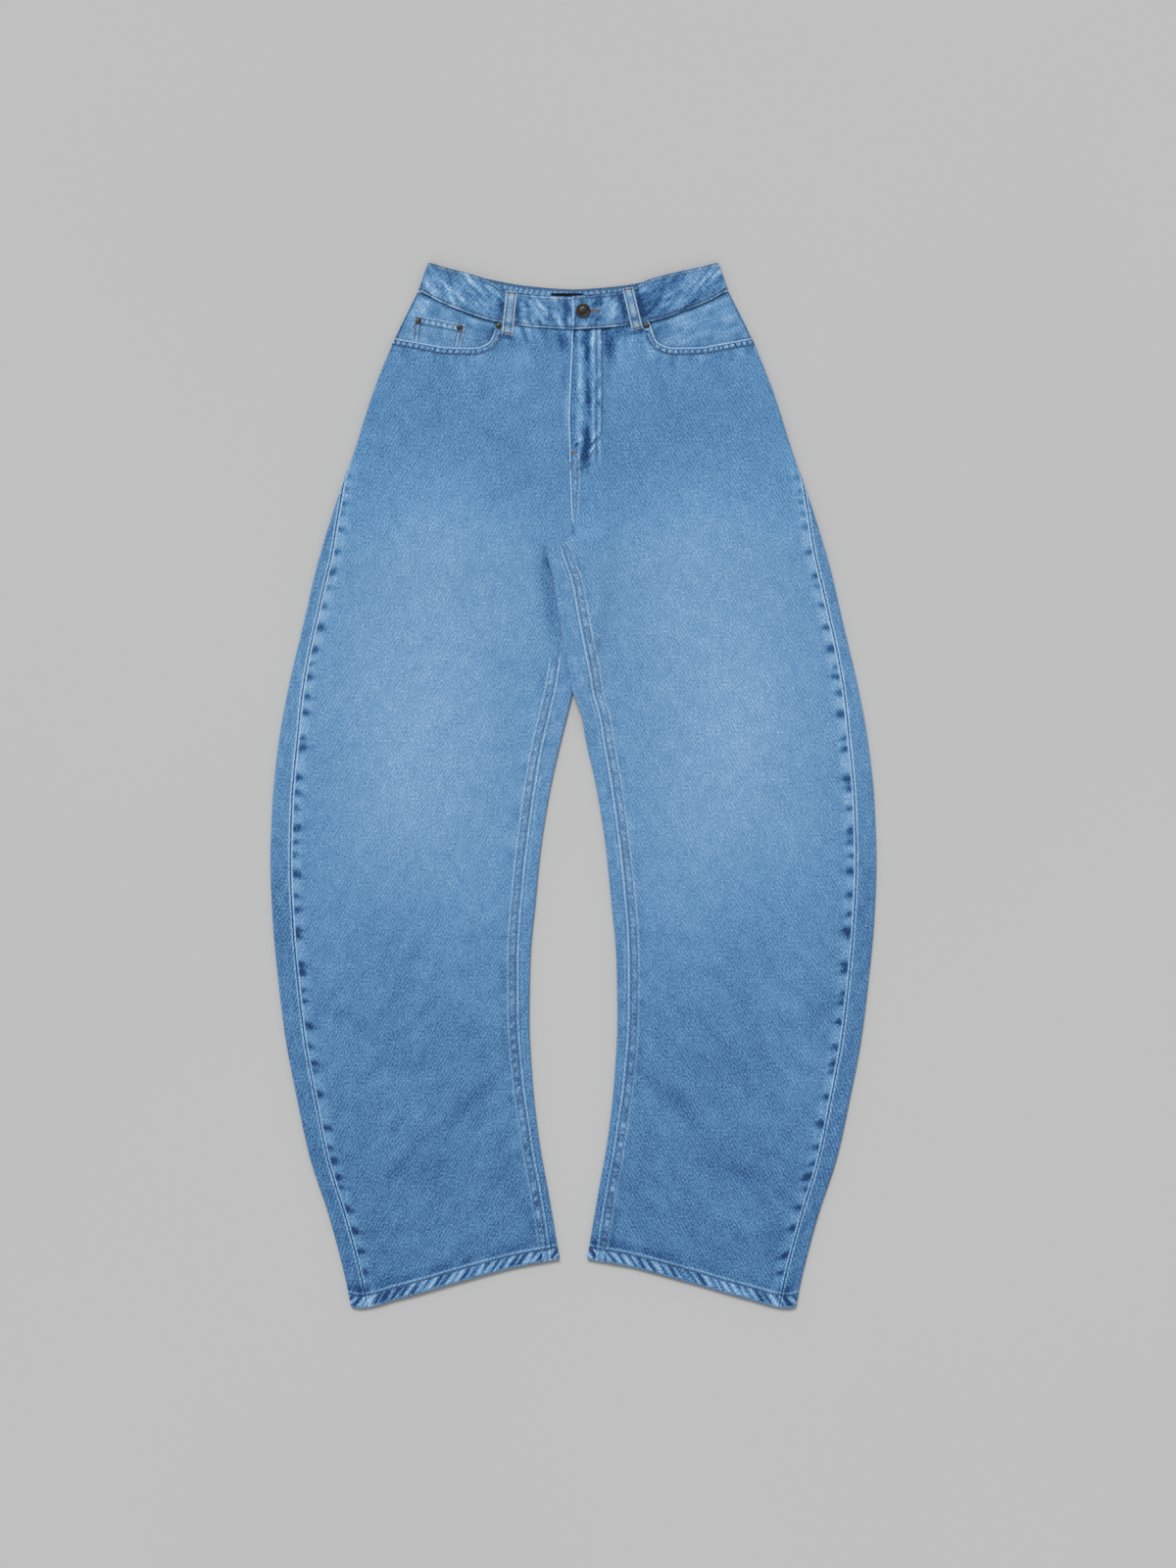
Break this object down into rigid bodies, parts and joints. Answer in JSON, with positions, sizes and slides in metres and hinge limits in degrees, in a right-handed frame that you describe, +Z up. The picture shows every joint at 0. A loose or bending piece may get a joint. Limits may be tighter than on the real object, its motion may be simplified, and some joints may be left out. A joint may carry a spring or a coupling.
{
  "type": "barrel leg trousers",
  "caption": "Washed denim trousers with curved barrel legs, laid flat with the front up, for dressing a scene or a shelf.",
  "frame": {"origin": "middle of the garment's outline, on the surface it lies on", "axes": "+Y towards the waist, +X towards the wearer's left, +Z up from the surface to the front panels"},
  "size_m": [0.6544, 1.1289, 0.0125],
  "materials": {
    "denim": "light blue washed twill, faded at the thighs",
    "denim_trim": "washed twill of the band, loops and facings",
    "rivet_brass": "aged brass rivet",
    "button_metal": "dark bronze, satin",
    "label_cloth": "plain dark woven label"
  },
  "bodies": {
    "root": {"front_right": "denim", "back_right": "denim", "yoke_right": "denim", "waistband_right": "denim_trim", "pocket_facing_right": "denim_trim", "back_pocket_right": "denim", "belt_loop_back_right": "denim_trim", "belt_loop_front_right": "denim_trim", "rivet_mouth_right": "rivet_brass", "front_left": "denim", "back_left": "denim", "yoke_left": "denim", "waistband_left": "denim_trim", "pocket_facing_left": "denim_trim", "back_pocket_left": "denim", "belt_loop_back_left": "denim_trim", "belt_loop_front_left": "denim_trim", "rivet_mouth_left": "rivet_brass", "coin_pocket": "denim", "belt_loop_centre": "denim_trim", "rivet_coin_inner": "rivet_brass", "rivet_coin_outer": "rivet_brass", "waist_button": "button_metal", "inner_label": "label_cloth"}
  },
  "joints": []
}
